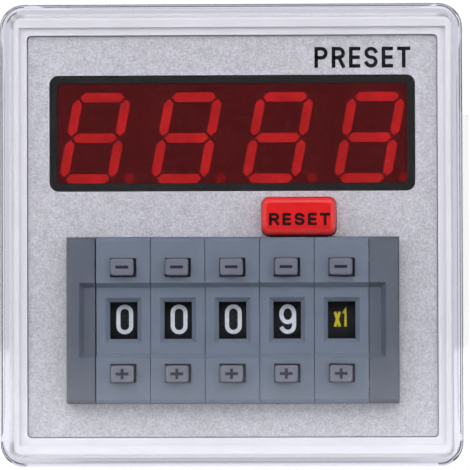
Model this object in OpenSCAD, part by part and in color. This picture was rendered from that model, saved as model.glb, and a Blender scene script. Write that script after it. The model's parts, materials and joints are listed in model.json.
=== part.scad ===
// Panel counter with a four-digit display, a row of pushwheel switches, a reset button,
// a clear pull-off front cover and a round plug-in base.
// Millimetres, +Z up, the front faces -Y, and y = 0 is the front face of the panel it is mounted in.

/* [Bezel] */
// Depth from the panel to the front of the bezel's rim
bezel_depth = 6.8; // [6.4:0.1:8]
// Corner radius of the bezel
bezel_corner = 0.8; // [0.6:0.1:1.2]
// Radius of the bezel's front edge
rim_edge = 0.3; // [0.1:0.05:0.5]
// Width of the rim at the left and right of the face plate
rim_side = 1.45; // [1.2:0.05:1.6]
// Width of the rim above and below the face plate
rim_top = 1.9; // [1.5:0.05:2.1]
// Width of the sunk band along the inside of the rim
rim_band = 0.85; // [0.4:0.05:0.9]
// Depth of the sunk band
rim_step = 0.35; // [0.2:0.05:0.5]
// Thickness of the floor that carries the face plate
floor_t = 1.5; // [1:0.1:2]
// Width of the flange that rests on the panel
flange_w = 1.7; // [1.4:0.05:2]
// Depth of the seat for the case in the back of the bezel
case_seat = 1; // [0.6:0.1:1.5]
// Thickness of the snap arms behind the bezel
arm_t = 1.2; // [0.9:0.1:1.3]
// Height of the snap arms
arm_h = 6; // [4:0.5:8]
// Room between a snap arm and the switch block
arm_room = 1.06; // [0.86:0.1:2.06]

/* [Face plate] */
// Thickness of the metal face plate
plate_t = 0.5; // [0.3:0.1:0.7]
// Distance of the face plate behind the front of the rim
plate_set_back = 0.8; // [0.6:0.1:1.2]
// Gap round the face plate
plate_gap = 0.1; // [0.05:0.05:0.15]
// Corner radius of the face plate
plate_corner = 0.4; // [0.2:0.1:0.8]

/* [Cover] */
// Room between the push buttons and the clear cover's front pane
cover_room = 1.5; // [0.5:0.1:4]
// Distance from the panel to the back edge of the cover
cover_back = 0.6; // [0.3:0.1:1.2]
// Thickness of the cover's side walls
cover_wall = 1; // [0.8:0.05:1.2]
// Thickness of the cover's front pane
cover_pane = 1.2; // [0.8:0.1:1.5]
// Gap between the cover and the bezel on each side
cover_gap = 0.1; // [0.05:0.05:0.2]
// Corner radius of the cover
cover_corner = 2.6; // [2.2:0.1:3]
// Radius of the cover's front edge
cover_edge = 0.7; // [0.4:0.1:0.75]
// Distance that the pull lip stands out of the right wall
lip_out = 1; // [0.8:0.1:2.5]
// Thickness of the pull lip
lip_t = 1.4; // [1:0.1:2]
// Distance of the pull lip's upper end below the top of the cover
lip_above = 11.4; // [6.9:0.5:16.9]
// Distance of the pull lip's lower end above the bottom of the cover
lip_below = 2.9; // [2.4:0.5:12.9]

/* [Display] */
// Distance of the display window's sides from the walls of the case
window_side = 0.4; // [0.3:0.1:0.6]
// Height of the display window
window_h = 12.76; // [12.26:0.1:13.06]
// Corner radius of the display window
window_corner = 1; // [0.5:0.1:1.5]
// Distance of the window's upper edge from the wall of the case
window_above = 2.8; // [2.6:0.05:3.4]
// Width of the dark border round the red film
film_border = 0.85; // [0.6:0.05:0.9]
// Thickness of the red film
film_t = 0.4; // [0.2:0.05:0.5]
// Depth of the display module
display_depth = 5.4; // [4.5:0.1:5.6]
// Width of the film that the first and the last digit take up together
digit_room = 8.3; // [8.1:0.05:9]
// Height of the film that the digits leave free
digit_margin = 1.08; // [1.04:0.02:2]
// Width of a digit between the centres of its upright bars
digit_w = 5.3; // [4.8:0.1:5.5]
// Slant of the digits in degrees
digit_slant = 10.5; // [0:0.5:11]
// Thickness of a bar
bar_t = 1.03; // [0.7:0.01:1.1]
// Gap that the ends of two bars leave at a corner
bar_gap = 0.4; // [0.2:0.05:0.6]
// Depth of the light cavities
bar_depth = 0.6; // [0.4:0.1:1]
// Diameter of the decimal points
point_d = 1.15; // [0.8:0.05:1.2]
// Distance of a decimal point to the right of its digit's centre
point_x = 3.74; // [3.6:0.02:3.8]
// Distance of the digits' centre below the window's centre
digit_drop = 0.48; // [0:0.02:0.5]
// Distance of a decimal point above the foot of its digit
point_lift = 0.1; // [0:0.02:0.2]

/* [Reset button] */
// Width of the reset button
reset_w = 8.1; // [7:0.1:9]
// Height of the reset button
reset_h = 4.2; // [3.9:0.05:4.4]
// Centre of the reset button to the right of the middle
reset_x = 7.3; // [-9:0.1:9]
// Distance of the reset button below the display window
reset_below = 0.725; // [0.675:0.05:1.175]
// Distance that the reset button stands out of the face plate
reset_proud = 2.6; // [2:0.1:3]
// Corner radius of the reset button
reset_corner = 0.85; // [0.75:0.05:1.2]
// Radius of the reset button's front edge
reset_edge = 0.7; // [0.4:0.05:0.72]
// Gap round the reset button
reset_gap = 0.09; // [0.08:0.01:0.14]
// Travel of the reset button
reset_travel = 0.5; // [0.3:0.1:0.5]
// Radius of the reset switch's plunger
plunger_r = 1; // [0.8:0.05:1.2]

/* [Pushwheel switches] */
// Width of one switch unit
unit_pitch = 5.96; // [5.86:0.02:6.06]
// Height of the switch block
block_h = 18.1; // [17.6:0.1:18.5]
// Distance of the switch block below the reset button
block_below = 0.2; // [0.2:0.05:0.8]
// Distance of the switch block from the floor of the case
block_floor = 2.215; // [1.815:0.05:3.015]
// Distance of the switch block to the right of the middle
block_x = 0.04; // [-0.2:0.02:0.2]
// Distance that the switch block stands out of the face plate
block_proud = 3; // [2.6:0.1:3.4]
// Width of an end cap
cap_w = 3.24; // [3:0.02:3.4]
// Gap between neighbouring units
unit_gap = 0.06; // [0.02:0.01:0.1]
// Gap between the left end cap and the first unit
cap_gap = 0.14; // [0.06:0.02:0.2]
// Gap between the block and its opening
block_gap = 0.1; // [0.06:0.01:0.12]
// Distance that the bands fall back from the trough to the outer edges
band_fall = 0.25; // [0:0.05:0.4]
// Bevel along the block's upper and lower edges
block_bevel = 0.4; // [0.2:0.05:0.6]
// Height of the trough
trough_h = 8.2; // [8:0.1:8.4]
// Depth of the trough
trough_depth = 0.8; // [0.5:0.05:1]
// Width of the trough's bevel
trough_bevel = 0.5; // [0.3:0.05:0.8]
// Width of a cap's outer edge beside its pocket
cap_edge = 1.4; // [1:0.05:1.5]
// Bevel along a cap's outer edge
cap_bevel = 0.6; // [0.4:0.05:0.8]
// Distance that a digit wheel reaches past its window at each side
eye_lap = 0.025; // [0.02:0.005:0.2]
// Height of a digit window
eye_h = 4.05; // [3.6:0.05:4.2]
// Width of the bevel round a digit window
eye_bevel = 0.48; // [0.3:0.02:0.5]
// Thickness of the front wall behind the trough
front_wall = 1.2; // [1:0.1:1.4]
// Thickness of the other walls of a unit
unit_wall = 0.7; // [0.6:0.05:0.75]
// Width of a push button
button_w = 2.52; // [2.4:0.02:2.7]
// Height of a push button
button_h = 1.83; // [1.7:0.01:1.9]
// Distance of the push buttons from the trough
button_room = 0.805; // [0.75:0.005:1]
// Distance of the push buttons to the right of the middle of their unit
button_x = -0.08; // [-0.12:0.02:0.04]
// Distance that a push button stands out of the block
button_proud = 0.9; // [0.8:0.05:1]
// Gap round a push button
button_gap = 0.06; // [0.05:0.01:0.1]
// Extra room of a slot towards its right
slot_play = 0.2; // [0.1:0.01:0.25]
// Extra room of a slot towards the digit window
slot_drop = 0.1; // [0.05:0.01:0.2]
// Radius of a digit wheel
wheel_r = 6.6; // [6.4:0.05:6.65]
// Room between a digit wheel's rim and the contact board
wheel_side = 0.51; // [0.45:0.02:0.6]
// Distance between a digit wheel and the front wall
wheel_gap = 0.6; // [0.4:0.05:0.8]
// Radius of a digit wheel's axle
axle_r = 0.9; // [0.7:0.05:1.1]
// Radial running clearance
running = 0.05; // [0.02:0.01:0.08]
// Radius of the ratchet's teeth tips
ratchet_r = 4.4; // [4:0.05:4.45]
// Thickness of a contact board
contact_t = 0.8; // [0.6:0.05:0.85]
// Length of a contact board's tail behind the block
contact_tail = 4.5; // [3:0.5:5]
// Radius of the rods through the stack
rod_r = 0.75; // [0.5:0.05:0.8]

/* [Case] */
// Depth of the case behind the panel
case_depth = 62; // [60:1:70]
// Thickness of the case's walls
case_wall = 1.8; // [1.6:0.1:1.9]
// Corner radius of the case
case_corner = 2.6; // [2.2:0.1:3]
// Gap of the seats between the case, the bezel and the base
seat_gap = 0.1; // [0.05:0.01:0.12]
// Spacing of the panel clip's ratchet teeth
rack_pitch = 2; // [1.5:0.1:2.5]
// Depth of the panel clip's ratchet teeth
rack_depth = 0.6; // [0.4:0.05:0.8]
// Width of a row of ratchet teeth
rack_w = 5; // [3:0.5:6]
// Distance of each row of ratchet teeth from the middle
rack_x = 12; // [10:0.5:14]

/* [Plug base] */
// Thickness of the base plate
base_t = 2.5; // [2:0.1:3.5]
// Diameter of the round boss
boss_d = 31; // [28:0.5:34]
// Length of the round boss
boss_l = 3; // [2:0.5:5]
// Diameter of the circle that the pins stand on
pin_circle = 17.45; // [17.2:0.05:17.7]
// Diameter of a pin
pin_d = 2.36; // [2.3:0.02:2.44]
// Length of a pin outside the boss
pin_l = 10.7; // [9:0.1:12]
// Diameter of the key post
key_d = 7.9; // [7.4:0.1:8]
// Length of the key post
key_l = 13.7; // [12:0.1:15]
// Width of the key
key_w = 2; // [1.5:0.1:2.4]
// Distance that the key stands out of the key post
key_out = 1.1; // [0.8:0.1:1.4]

/* [Boards] */
// Thickness of the circuit boards
board_t = 1.6; // [1.2:0.1:1.7]
// Height of the main board's upper side above the floor of the case
main_board_rise = 8.5; // [7.5:0.5:10]
// Depth of the rails that hold the main board
rail_out = 1.2; // [0.8:0.1:1.5]
// Stack thickness of the transformer's core
core_t = 10; // [8:0.5:11]
// Width of the transformer's core
core_w = 25; // [22:0.5:26]
// Width of the core's middle leg
core_leg = 8.2; // [7:0.1:8.5]
// Diameter of the filter capacitor
capacitor_d = 10; // [8:0.5:12]
// Length of the filter capacitor
capacitor_l = 13; // [10:0.5:16]

/* [Hidden] */
$fn = 48;
over = 1;
digits = 4;
units = 5;
pins = 8;
teeth = 10;
chip_legs = 10;

// Widths, from the switch block out to the cover
block_w = units * unit_pitch + 2 * cap_w;
case_in = block_w + 2 * (arm_room + arm_t + seat_gap);
case_w = case_in + 2 * case_wall;
bezel_w = case_w + 2 * flange_w;
plate_w = bezel_w - 2 * (rim_side + plate_gap);
cover_w = bezel_w + 2 * (cover_gap + cover_wall);
window_w = case_in - 2 * window_side;

// Heights, from the display window down to the switch block and out to the cover
case_in_h = window_above + window_h + reset_below + reset_h + block_below + block_h + block_floor;
case_h = case_in_h + 2 * case_wall;
bezel_h = case_h + 2 * flange_w;
plate_h = bezel_h - 2 * (rim_top + plate_gap);
cover_h = bezel_h + 2 * (cover_gap + cover_wall);
window_z = case_in_h / 2 - window_above - window_h / 2;
reset_z = window_z - window_h / 2 - reset_below - reset_h / 2;
block_z = reset_z - reset_h / 2 - block_below - block_h / 2;

// Depths, from the front of the cover to the tips of the pins
stop_gap = 0.1;
film_gap = 0.05;
rim_y = -bezel_depth;
plate_y = rim_y + plate_set_back;
floor_y = plate_y + plate_t;
floor_back_y = floor_y + floor_t;
display_y = plate_y + stop_gap;
film_y = display_y + film_gap;
bars_y = film_y + film_t + film_gap;
board_y = display_y + display_depth;
block_y = plate_y - block_proud;
button_y = block_y - button_proud;
cover_y = button_y - cover_room - cover_pane;
trough_y = block_y + trough_depth;
inner_y = trough_y + front_wall;
wheel_y = inner_y + wheel_gap + wheel_r;
cavity_y = wheel_y + wheel_r + wheel_gap;
block_back_y = cavity_y + unit_wall;
base_y = case_depth;
boss_y = base_y + base_t;
pin_y = boss_y + boss_l;

// Cover, snap arms and catches
lip_round = 0.75 * lip_out;
arm_x = case_in / 2 - seat_gap;
hook_y = block_back_y + stop_gap;
hook_t = 1.1;
hook_w = 1.8;
catch_y = 3;
catch_l = 2.2;
catch_out = 1.2;
catch_room = 0.2;
base_catch_y = base_y - 7;
base_arm_y = base_catch_y - 1;

// Display and its board
display_gap = 0.1;
display_w = window_w - 2 * display_gap;
display_h = window_h - 2 * display_gap;
film_w = window_w - 2 * film_border;
film_h = window_h - 2 * film_border;
film_corner = 0.5;
digit_pitch = (film_w - digit_room) / (digits - 1);
digit_h = film_h - bar_t - digit_margin;
digit_z = window_z - digit_drop;
board_room = 0.45;
board_edge = 0.5;
display_board_w = case_in - 2 * seat_gap;
display_board_z0 = block_z + block_h / 2 + board_room;
display_board_z1 = case_in_h / 2 - board_edge;
post_side = 2.6;
post_x = case_in / 2 - post_side;
post_r = 1.6;
screw_r = 0.6;
screw_l = 2.4;
screw_head_r = 1.32;
screw_head_t = 0.9;
chip_size = [25, 3.3, 6.4];
chip_y = board_y + board_t + 0.5;
chip_notch_r = 1;
chip_leg_w = 0.6;
chip_leg_t = 0.4;
chip_leg_out = 0.15;

// Reset button and its switch
reset_y = plate_y - reset_proud;
reset_flange_y = floor_back_y + stop_gap;
reset_flange_t = 1;
reset_flange_out = 0.8;
reset_back_y = reset_flange_y + reset_flange_t;
reset_play = 0.2;
reset_switch_y = reset_back_y + reset_travel + reset_play;
reset_switch_w = 6;
reset_switch_h = 3.4;
reset_switch_floor = 0.3;
plunger_hole_y = board_y - reset_switch_floor;
plunger_back_y = plunger_hole_y - reset_travel - stop_gap;

// Switch units, across
unit_w = unit_pitch - unit_gap;
leg_t = 0.4;
leg_gap = 0.08;
leg_x = -unit_w / 2 + unit_wall + leg_gap;
wheel_play = 0.3;
wheel_x = leg_x + leg_t + wheel_play;
contact_gap = 0.05;
contact_x = unit_w / 2 - contact_t - contact_gap;
wheel_w = contact_x - wheel_side - wheel_x;
eye_w = wheel_w - 2 * eye_lap;
hub_proud = 0.1;
hub_end = wheel_x + wheel_w + hub_proud;
axle_gap = 0.1;
axle_start = -unit_w / 2 + axle_gap;
axle_end = contact_x + contact_t;
slot_w = button_w + 2 * button_gap + slot_play;
shoulder_gap = 0.2;
shoulder_end = contact_x - shoulder_gap;

// Switch units, up and down
unit_in_h = block_h - 2 * unit_wall;
slot_h = button_h + 2 * button_gap + slot_drop;
button_rise = trough_h / 2 + button_room + button_h / 2;
shoulder_lap = 0.3;
shoulder_h = slot_h + 2 * shoulder_lap;
tail_step = 2;
tail_h = unit_in_h - 2 * tail_step;
contact_h = unit_in_h - 2 * stop_gap;
rod_edge = 1;
rod_z = unit_in_h / 2 - rod_edge;

// Switch units, forms
button_corner = 0.3;
button_edge = 0.2;
shoulder_y = inner_y + stop_gap;
shoulder_t = 0.7;
leg_h = 1.2;
leg_back = 2.7;
leg_end = wheel_y - leg_back;
pawl_w = 1.4;
pawl_slope = 0.3;
pawl_tip = 0.5;
pawl_gap = 0.1;
leaf_t = 0.35;
leaf_l = 3;
leaf_foot = 0.4;
leaf_root = 0.2;
leaf_inset = 0.3;
wheel_rim = 0.9;
wheel_web = 0.8;
hub_r = 2.2;
ratchet_t = 0.5;
ratchet_lap = 0.2;
tooth_h = 0.9;
ratchet_root = ratchet_r - tooth_h;
wiper_t = 0.2;
wiper_l = 9.6;
wiper_w = 0.9;
rod_back = 1.9;
rod_y = cavity_y - rod_back;
rod_short = 0.8;
cheek_t = 1.4;
cap_rib_t = 1.2;
cap_rib_out = 0.5;

// Plug base and pins
pin_board_gap = 1.4;
pin_board_y = base_y - pin_board_gap - board_t;
pin_board_in = 1.5;
pin_board_d = boss_d - 2 * pin_board_in;
pin_step = 0.25;
shank_r = pin_d / 2 - pin_step;
solder_l = 0.8;
solder_y = pin_board_y - solder_l;
pin_end_y = pin_y + pin_l;
pin_tip = 0.7;
pin_slope = 0.5;
key_end_y = pin_y + key_l;
key_tip = 1;
key_slope = 0.8;

// Main board and what stands on it
main_board_gap = 1;
main_board_y0 = block_back_y + contact_tail + main_board_gap;
main_board_end = 0.6;
main_board_y1 = pin_board_y - main_board_end;
main_board_z = main_board_rise - case_in_h / 2;
main_board_w = case_in - 2 * seat_gap;
rail_h = 1.2;
side_room = 3.2;
back_room = 5.5;
front_room = 5;
coil_gap = 0.1;
coil_out = 4.3;
coil_corner = 2;
core_h = 21;
core_x = side_room + coil_out + core_t / 2 - case_in / 2;
core_y = pin_board_y - back_room - core_w / 2;
core_yoke = core_leg / 2;
core_slot = core_w / 2 - core_leg / 2 - core_yoke;
relay_size = [10.4, 15.4, 12];
relay_corner = 0.8;
relay_x = case_in / 2 - side_room - relay_size[0] / 2;
relay_y = pin_board_y - back_room - relay_size[1] / 2;
capacitor_x = case_in / 2 - side_room - capacitor_d / 2;
capacitor_y = main_board_y0 + front_room + capacitor_d / 2;
crimp_r = 0.6;
crimp_z = 2;
crimp_out = 0.2;

// Panel clip's teeth
rack_start = 9;
rack_tip = 0.1;
rack_count = floor((case_depth - 2 * rack_start) / rack_pitch);

function unit_x(n) = block_x + (n - (units + 1) / 2) * unit_pitch;
function digit_x(d) = (d - (digits - 1) / 2) * digit_pitch;
function slanted(p) = [p[0] + p[1] * tan(digit_slant), p[1]];
function on_circle(r, a) = [r * cos(a), r * sin(a)];

// The six corners of a bar of length l, lying along x or standing along z
function bar_points(l, upright) = [
    for (end = [-1, 1], p = [[l - bar_t, -bar_t], [l, 0], [l - bar_t, bar_t]])
        upright ? end * [p[1], -p[0]] / 2 : end * p / 2
];

// Rounded rectangle, centred
module outline(w, h, r) {
    square([w - 2 * r, h], center = true);
    square([w, h - 2 * r], center = true);
    for (sx = [-1, 1], sz = [-1, 1])
        translate([sx * (w / 2 - r), sz * (h / 2 - r)])
            circle(r);
}

// Extrudes an outline of the front view, x right and z up, from depth y0 to depth y1
module slab(y0, y1) {
    translate([0, y1, 0])
        rotate([90, 0, 0])
            linear_extrude(height = y1 - y0)
                children();
}

// Extrudes an outline of the side view, y and z, from x0 to x1
module side_slab(x0, x1) {
    translate([x0, 0, 0])
        rotate([90, 0, 90])
            linear_extrude(height = x1 - x0)
                children();
}

// Extrudes an outline of the top view, x and y, over a height h about the middle
module level_slab(h) {
    linear_extrude(height = h, center = true)
        children();
}

// Carries a profile round a rounded rectangle. The profile's x runs outwards from the centres
// of the corners, and its y runs backwards.
module swept_rim(w, h, r) {
    for (turn = [0:3]) {
        across = turn % 2 == 0 ? w : h;
        along = turn % 2 == 0 ? h : w;
        rotate([0, 90 * turn, 0])
            translate([across / 2 - r, 0, 0]) {
                level_slab(along - 2 * r)
                    children();
                translate([0, 0, -(along / 2 - r)])
                    rotate([-90, 0, 0])
                        rotate_extrude(angle = 90)
                            children();
            }
    }
}

// The part of a square corner that a round edge of radius e takes away
module edge_cut(r, e) {
    difference() {
        translate([r - e, -over])
            square([e + over, e + over]);
        translate([r - e, e])
            circle(e);
    }
}

// Block with rounded corners and a rounded front edge, from y = 0 backwards
module cushion(w, h, r, e, depth) {
    swept_rim(w, h, r)
        difference() {
            square([r, depth]);
            edge_cut(r, e);
        }
    slab(0, depth)
        square([w - r - e, h - r - e], center = true);
}

// Pull-off clear cover with a lip on its right wall
module front_cover() {
    lip_x = cover_w / 2 - cover_wall / 2;
    lip_end = cover_w / 2 + lip_out;
    lip_top = cover_h / 2 - lip_above;
    lip_bottom = lip_below - cover_h / 2;
    color([0.88, 0.9, 0.95, 0.4]) {
        difference() {
            translate([0, cover_y, 0])
                cushion(cover_w, cover_h, cover_corner, cover_edge, -cover_back - cover_y);
            slab(cover_y + cover_pane, over)
                outline(cover_w - 2 * cover_wall, cover_h - 2 * cover_wall, bezel_corner + cover_gap);
        }
        slab(-cover_back - lip_t, -cover_back) {
            polygon([
                [lip_x, lip_bottom],
                [lip_x, lip_top],
                [lip_end - lip_round, lip_top],
                [lip_end, lip_top - lip_round],
                [lip_end, lip_bottom + lip_out],
                [lip_end - lip_out, lip_bottom]
            ]);
            translate([lip_end - lip_round, lip_top - lip_round])
                circle(lip_round);
        }
    }
}

// Openings of the face plate and the bezel's floor
module front_openings() {
    translate([0, window_z])
        outline(window_w, window_h, window_corner);
    translate([reset_x, reset_z])
        outline(reset_w + 2 * reset_gap, reset_h + 2 * reset_gap, reset_corner);
    translate([reset_x - reset_w / 2 + reset_corner, block_z])
        square([reset_w - 2 * reset_corner, reset_z - block_z]);
    translate([block_x, block_z])
        square([block_w + 2 * block_gap, block_h + 2 * block_gap], center = true);
}

// Snap arm on the right side: it holds the stack from behind and catches in the case
module snap_arm() {
    translate([0, 0, block_z]) {
        level_slab(arm_h) {
            translate([arm_x - arm_t, floor_back_y - floor_t / 2])
                square([arm_t, hook_y + hook_t / 2 - floor_back_y + floor_t / 2]);
            translate([arm_x - hook_w, hook_y])
                square([hook_w, hook_t]);
            translate([arm_x - arm_t / 2, catch_y])
                square([arm_t / 2, catch_l]);
            polygon([[arm_x, catch_y], [arm_x + catch_out, catch_y], [arm_x, catch_y + catch_l]]);
        }
    }
}

// Moulded front frame with its stepped rim, floor, posts and snap arms
module bezel() {
    band_out = plate_gap + rim_band;
    color([0.85, 0.85, 0.87]) {
        difference() {
            translate([0, rim_y, 0])
                cushion(bezel_w, bezel_h, bezel_corner, rim_edge, bezel_depth);
            slab(rim_y - over, rim_y + rim_step)
                square([plate_w + 2 * band_out, plate_h + 2 * band_out], center = true);
            slab(rim_y - over, floor_y)
                outline(plate_w + 2 * plate_gap, plate_h + 2 * plate_gap, plate_corner + plate_gap);
            slab(floor_y - over, floor_back_y + over)
                front_openings();
            slab(floor_back_y, over)
                square([case_in, case_in_h], center = true);
            slab(-case_seat, over)
                outline(case_w + 2 * seat_gap, case_h + 2 * seat_gap, case_corner + seat_gap);
        }
        for (side = [-1, 1])
            translate([side * post_x, 0, reset_z])
                slab(floor_back_y - floor_t / 2, board_y)
                    difference() {
                        circle(post_r);
                        circle(screw_r + running);
                    }
        snap_arm();
        mirror([1, 0, 0])
            snap_arm();
    }
}

// Metal face plate
module face_plate() {
    color([0.76, 0.76, 0.79])
        slab(plate_y, floor_y)
            difference() {
                outline(plate_w, plate_h, plate_corner);
                front_openings();
            }
}

// Outline of the red film
module film_outline() {
    translate([0, window_z])
        outline(film_w - 2 * film_gap, film_h - 2 * film_gap, film_corner);
}

// The bars and the decimal points of all digits, as outlines of the front view, where the film covers them
module digit_outlines() {
    intersection() {
        film_outline();
        for (d = [0:digits - 1])
            translate([digit_x(d), digit_z])
                digit_outline();
    }
}

// The seven bars and the decimal point of one digit
module digit_outline() {
    for (row = [-1:1])
        polygon([for (p = bar_points(digit_w - bar_gap, false)) slanted(p + [0, row * digit_h / 2])]);
    for (row = [-1, 1], side = [-1, 1])
        polygon([
            for (p = bar_points(digit_h / 2 - bar_gap, true))
                slanted(p + [side * digit_w / 2, row * digit_h / 4])
        ]);
    translate([point_x, -digit_h / 2 + (bar_t - point_d) / 2 + point_lift])
        circle(d = point_d);
}

// Black display module with a light cavity for each bar
module display_housing() {
    color([0.09, 0.08, 0.08])
        difference() {
            translate([0, 0, window_z])
                slab(display_y, board_y)
                    outline(display_w, display_h, window_corner);
            translate([0, 0, window_z])
                slab(display_y - over, bars_y)
                    outline(film_w, film_h, film_corner);
            slab(bars_y - over, bars_y + bar_depth)
                digit_outlines();
        }
}

// Cast light bars and decimal points
module display_segments() {
    color([0.72, 0.12, 0.11])
        slab(bars_y, bars_y + bar_depth)
            digit_outlines();
}

// Red film over the display
module display_film() {
    color([0.45, 0.08, 0.08, 0.6])
        slab(film_y, film_y + film_t)
            film_outline();
}

// Reset button with a rounded face and a flange at each side
module reset_button() {
    color([0.82, 0.1, 0.1])
        translate([reset_x, 0, reset_z]) {
            translate([0, reset_y, 0])
                cushion(reset_w, reset_h, reset_corner, reset_edge, reset_back_y - reset_y);
            slab(reset_flange_y, reset_back_y)
                square([reset_w + 2 * reset_flange_out, reset_h - 2 * reset_corner], center = true);
        }
}

// Push switch behind the reset button
module reset_switch() {
    color([0.16, 0.16, 0.17])
        translate([reset_x, 0, reset_z])
            difference() {
                slab(reset_switch_y, board_y)
                    square([reset_switch_w, reset_switch_h], center = true);
                slab(reset_switch_y - over, plunger_hole_y)
                    circle(plunger_r + running);
            }
}

// Plunger of the push switch
module reset_plunger() {
    color([0.3, 0.3, 0.3])
        translate([reset_x, 0, reset_z])
            slab(reset_back_y, plunger_back_y)
                circle(plunger_r);
}

// Side view of a unit or of an end cap
module block_outline(with_trough) {
    top = block_h / 2;
    edge_y = block_y + band_fall;
    polygon(concat(
        [[block_back_y, -top], [block_back_y, top], [edge_y + block_bevel, top]],
        [[edge_y, top - block_bevel], [block_y, trough_h / 2]],
        with_trough ? [[trough_y, trough_h / 2 - trough_bevel]] : [],
        with_trough ? [[trough_y, -trough_h / 2 + trough_bevel]] : [],
        [[block_y, -trough_h / 2], [edge_y, -top + block_bevel], [edge_y + block_bevel, -top]]
    ));
}

// Bevelled opening of a digit window
module eye_cut() {
    slab(trough_y - over, inner_y + over)
        square([eye_w, eye_h], center = true);
    intersection() {
        side_slab(-unit_w / 2, unit_w / 2)
            bevel_outline(eye_h);
        level_slab(block_h)
            mirror([1, -1])
                bevel_outline(eye_w);
    }
}

// Trapezoid that opens from a width w inside to a wider mouth at the trough, y along the depth
module bevel_outline(w) {
    polygon([
        [trough_y, -w / 2 - eye_bevel],
        [trough_y, w / 2 + eye_bevel],
        [trough_y + eye_bevel, w / 2],
        [trough_y + eye_bevel, -w / 2]
    ]);
}

// Cross-section of the room inside a unit, open on its right side
module unit_room() {
    slab(inner_y, cavity_y)
        translate([-unit_w / 2 + unit_wall, -unit_in_h / 2])
            square([unit_w, unit_in_h]);
}

// One switch unit's housing with its digit window, button slots and axle bearing
module switch_housing(n) {
    color([0.43, 0.47, 0.53])
        translate([unit_x(n), 0, block_z])
            difference() {
                side_slab(-unit_w / 2, unit_w / 2)
                    block_outline(true);
                unit_room();
                eye_cut();
                for (up = [-1, 1])
                    slab(block_y - over, inner_y + over)
                        translate([button_x + slot_play / 2, up * (button_rise - slot_drop / 2)])
                            square([slot_w, slot_h], center = true);
                translate([0, wheel_y, 0])
                    side_slab(-unit_w, 0)
                        circle(axle_r + running);
                for (up = [-1, 1])
                    translate([0, rod_y, up * rod_z])
                        side_slab(-unit_w, 0)
                            circle(rod_r + running);
                slab(cavity_y - over, block_back_y + over)
                    translate([contact_x - contact_gap, -tail_h / 2])
                        square([unit_w, tail_h]);
            }
}

// Half-section of a digit wheel, the radius along x and the axle along y
module wheel_section() {
    translate([0, axle_start])
        square([axle_r, axle_end - axle_start]);
    translate([0, wheel_x - ratchet_t])
        square([hub_r, hub_end - wheel_x + ratchet_t]);
    translate([0, wheel_x])
        square([wheel_r - wheel_rim / 2, wheel_web]);
    translate([wheel_r - wheel_rim, wheel_x])
        square([wheel_rim, wheel_w]);
}

// Outline of the ratchet, four points to a tooth
module ratchet_outline() {
    step = 360 / teeth;
    polygon([
        for (t = [0:teeth - 1], share = [-0.4, -0.14, 0.14, 0.4])
            on_circle(abs(share) < 0.2 ? ratchet_r : ratchet_root, (t + share) * step)
    ]);
}

// Digit wheel with its axle and a ratchet on the left
module digit_wheel(n) {
    color([0.08, 0.09, 0.11])
        translate([unit_x(n), wheel_y, block_z]) {
            rotate([0, 90, 0])
                rotate_extrude()
                    wheel_section();
            side_slab(wheel_x - ratchet_t, wheel_x)
                difference() {
                    ratchet_outline();
                    circle(hub_r - ratchet_lap);
                }
        }
}

// Brass wiper that turns with a digit wheel
module contact_wiper(n) {
    color([0.78, 0.62, 0.3])
        translate([unit_x(n), wheel_y, block_z])
            side_slab(hub_end, hub_end + wiper_t)
                difference() {
                    union() {
                        circle(hub_r);
                        square([wiper_w, wiper_l], center = true);
                    }
                    circle(axle_r + running);
                }
}

// Printed contact board that closes a unit on its right side
module contact_board(n) {
    color([0.2, 0.36, 0.22])
        translate([unit_x(n), 0, block_z])
            difference() {
                side_slab(contact_x, contact_x + contact_t) {
                    translate([inner_y + stop_gap, -contact_h / 2])
                        square([cavity_y - inner_y - 2 * stop_gap, contact_h]);
                    translate([wheel_y, stop_gap - tail_h / 2])
                        square([block_back_y + contact_tail - wheel_y, tail_h - 2 * stop_gap]);
                }
                translate([0, wheel_y, 0])
                    side_slab(0, unit_w)
                        circle(axle_r + running);
                for (up = [-1, 1])
                    translate([0, rod_y, up * rod_z])
                        side_slab(0, unit_w)
                            circle(rod_r + running);
            }
}

// Push button with its shoulder, pawl leg and spring leaf, drawn for the upper slot
module push_button() {
    leaf_y = shoulder_y + shoulder_t - leaf_root;
    leaf_z = button_rise + shoulder_h / 2 - leaf_inset;
    leaf_top = unit_in_h / 2 - leaf_inset;
    pawl_z = ratchet_r - pawl_gap;
    translate([button_x, button_y, button_rise])
        cushion(button_w, button_h, button_corner, button_edge, shoulder_y + shoulder_t / 2 - button_y);
    translate([0, 0, button_rise - slot_drop / 2])
        slab(shoulder_y, shoulder_y + shoulder_t)
            translate([leg_x, -shoulder_h / 2])
                square([shoulder_end - leg_x, shoulder_h]);
    side_slab(leg_x, leg_x + leg_t) {
        translate([shoulder_y + shoulder_t / 2, button_rise - leg_h / 2])
            square([leg_end - shoulder_y - shoulder_t / 2, leg_h]);
        polygon([
            [leg_end - pawl_w, button_rise],
            [leg_end - pawl_slope - pawl_tip, pawl_z],
            [leg_end - pawl_slope, pawl_z],
            [leg_end, button_rise]
        ]);
    }
    side_slab(-button_w / 4, button_w / 4)
        polygon([
            [leaf_y, leaf_z],
            [leaf_y, leaf_z - leaf_t],
            [leaf_y + leaf_l - leaf_foot, leaf_top - leaf_t],
            [leaf_y + leaf_l, leaf_top - leaf_t],
            [leaf_y + leaf_l, leaf_top],
            [leaf_y + leaf_l - leaf_foot, leaf_top]
        ]);
}

// Upper push button, which counts the wheel down
module minus_button(n) {
    color([0.5, 0.52, 0.58])
        translate([unit_x(n), 0, block_z])
            push_button();
}

// Lower push button, which counts the wheel up
module plus_button(n) {
    color([0.5, 0.52, 0.58])
        translate([unit_x(n), 0, block_z])
            mirror([0, 0, 1])
                push_button();
}

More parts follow.
